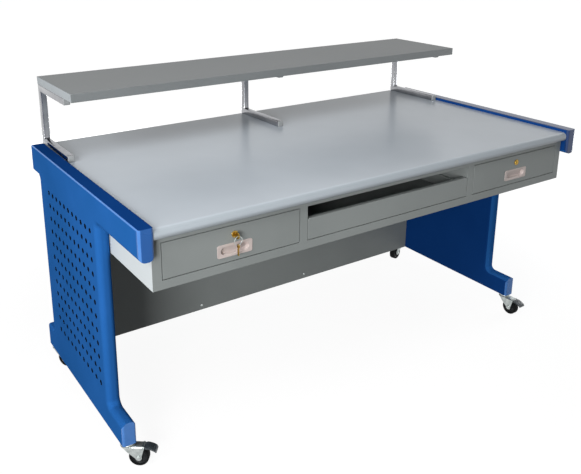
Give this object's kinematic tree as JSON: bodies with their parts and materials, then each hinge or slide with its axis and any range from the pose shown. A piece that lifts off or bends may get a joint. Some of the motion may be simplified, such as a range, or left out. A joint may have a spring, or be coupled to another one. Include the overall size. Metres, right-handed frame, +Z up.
{
  "type": "training workbench",
  "caption": "Rolling training workbench with perforated blue steel legs, grey worktop, locking drawers, pull-out keyboard tray, modesty panel and a raised rear shelf",
  "frame": {"origin": "on the floor under the middle of the bench", "axes": "+X along the bench to the right, +Y from front to rear, +Z up"},
  "size_m": [1.58, 0.836, 0.966],
  "materials": {
    "blue_paint": "gloss enamel",
    "grey_paint": "satin enamel",
    "laminate_board": "semi-gloss laminate",
    "chrome": "polished chrome",
    "zinc_steel": "zinc plated",
    "pale_plastic": "moulded",
    "grey_plastic": "moulded",
    "brass": "polished",
    "black_rubber": "matte",
    "black_plastic": "moulded"
  },
  "bodies": {
    "bench": {"left_leg_shell": "blue_paint", "left_leg_cover": "blue_paint", "right_leg_shell": "blue_paint", "right_leg_cover": "blue_paint", "caster_mounting_plates": "zinc_steel", "worktop": "laminate_board", "worktop_cleats": "grey_paint", "modesty_panel": "grey_paint", "modesty_angles": "grey_paint", "drawer_housing": "grey_paint", "runner_channels": "grey_paint", "left_drawer_rails": "zinc_steel", "right_drawer_rails": "zinc_steel", "keyboard_rails": "zinc_steel", "upper_shelf": "laminate_board", "left_shelf_bracket": "chrome", "middle_shelf_bracket": "chrome", "right_shelf_bracket": "chrome", "bracket_end_plugs": "grey_plastic", "shelf_screws": "zinc_steel", "frame_bolts": "zinc_steel", "caster_stems": "zinc_steel"},
    "left_drawer": {"left_drawer_box": "grey_paint", "left_drawer_front": "grey_paint", "left_drawer_slides": "zinc_steel", "left_cup_pull": "pale_plastic", "left_lock_barrel": "brass"},
    "right_drawer": {"right_drawer_box": "grey_paint", "right_drawer_front": "grey_paint", "right_drawer_slides": "zinc_steel", "right_cup_pull": "pale_plastic", "right_lock_barrel": "brass"},
    "left_lock": {"left_lock_plug": "brass", "left_lock_cam": "zinc_steel", "left_key": "brass"},
    "right_lock": {"right_lock_plug": "brass", "right_lock_cam": "zinc_steel"},
    "hanging_key": {"key_ring": "zinc_steel", "spare_key": "brass"},
    "keyboard": {"keyboard_tray": "grey_paint", "keyboard_front": "grey_paint", "keyboard_slides": "zinc_steel"},
    "front_left_caster": {"front_left_caster_fork": "zinc_steel", "front_left_caster_pins": "zinc_steel"},
    "front_left_wheel": {"front_left_caster_tyre": "black_rubber", "front_left_caster_hub": "black_plastic"},
    "front_left_brake": {"front_left_brake_pedal": "black_plastic"},
    "front_right_caster": {"front_right_caster_fork": "zinc_steel", "front_right_caster_pins": "zinc_steel"},
    "front_right_wheel": {"front_right_caster_tyre": "black_rubber", "front_right_caster_hub": "black_plastic"},
    "front_right_brake": {"front_right_brake_pedal": "black_plastic"},
    "rear_left_caster": {"rear_left_caster_fork": "zinc_steel", "rear_left_caster_axle": "zinc_steel"},
    "rear_left_wheel": {"rear_left_caster_tyre": "black_rubber", "rear_left_caster_hub": "black_plastic"},
    "rear_right_caster": {"rear_right_caster_fork": "zinc_steel", "rear_right_caster_axle": "zinc_steel"},
    "rear_right_wheel": {"rear_right_caster_tyre": "black_rubber", "rear_right_caster_hub": "black_plastic"}
  },
  "joints": [
    {"name": "left_drawer_slide", "type": "slide", "parent": "bench", "child": "left_drawer", "axis": [0, -1, 0], "range_m": [0, 0.29]},
    {"name": "right_drawer_slide", "type": "slide", "parent": "bench", "child": "right_drawer", "axis": [0, -1, 0], "range_m": [0, 0.29]},
    {"name": "keyboard_slide", "type": "slide", "parent": "bench", "child": "keyboard", "axis": [0, -1, 0], "range_m": [0, 0.25]},
    {"name": "left_lock_turn", "type": "hinge", "parent": "left_drawer", "child": "left_lock", "pos_m": [-0.5265, -0.394, 0.683], "axis": [0, 1, 0], "range_deg": [0, 90]},
    {"name": "right_lock_turn", "type": "hinge", "parent": "right_drawer", "child": "right_lock", "pos_m": [0.5265, -0.394, 0.683], "axis": [0, 1, 0], "range_deg": [0, 90]},
    {"name": "key_ring_swing", "type": "hinge", "parent": "left_lock", "child": "hanging_key", "pos_m": [-0.5265, -0.4111, 0.683], "axis": [1, 0, 0], "range_deg": [-45, 5]},
    {"name": "front_left_swivel", "type": "hinge", "parent": "bench", "child": "front_left_caster", "pos_m": [-0.77, -0.22, 0.06], "axis": [0, 0, 1], "continuous": true},
    {"name": "front_left_roll", "type": "hinge", "parent": "front_left_caster", "child": "front_left_wheel", "pos_m": [-0.74478, -0.2397, 0.028], "axis": [0.6157, 0.788, 0], "continuous": true},
    {"name": "front_left_brake_press", "type": "hinge", "parent": "front_left_caster", "child": "front_left_brake", "pos_m": [-0.73533, -0.24709, 0.0585], "axis": [-0.6157, -0.788, 0], "range_deg": [0, 22]},
    {"name": "front_right_swivel", "type": "hinge", "parent": "bench", "child": "front_right_caster", "pos_m": [0.77, -0.22, 0.06], "axis": [0, 0, 1], "continuous": true},
    {"name": "front_right_roll", "type": "hinge", "parent": "front_right_caster", "child": "front_right_wheel", "pos_m": [0.77084, -0.25199, 0.028], "axis": [0.9997, 0.0262, 0], "continuous": true},
    {"name": "front_right_brake_press", "type": "hinge", "parent": "front_right_caster", "child": "front_right_brake", "pos_m": [0.77115, -0.26399, 0.0585], "axis": [-0.9997, -0.0262, 0], "range_deg": [0, 22]},
    {"name": "rear_left_swivel", "type": "hinge", "parent": "bench", "child": "rear_left_caster", "pos_m": [-0.77, 0.36, 0.06], "axis": [0, 0, 1], "continuous": true},
    {"name": "rear_left_roll", "type": "hinge", "parent": "rear_left_caster", "child": "rear_left_wheel", "pos_m": [-0.75304, 0.33286, 0.028], "axis": [0.848, 0.5299, 0], "continuous": true},
    {"name": "rear_right_swivel", "type": "hinge", "parent": "bench", "child": "rear_right_caster", "pos_m": [0.77, 0.36, 0.06], "axis": [0, 0, 1], "continuous": true},
    {"name": "rear_right_roll", "type": "hinge", "parent": "rear_right_caster", "child": "rear_right_wheel", "pos_m": [0.7394, 0.35064, 0.028], "axis": [0.2924, -0.9563, 0], "continuous": true}
  ]
}
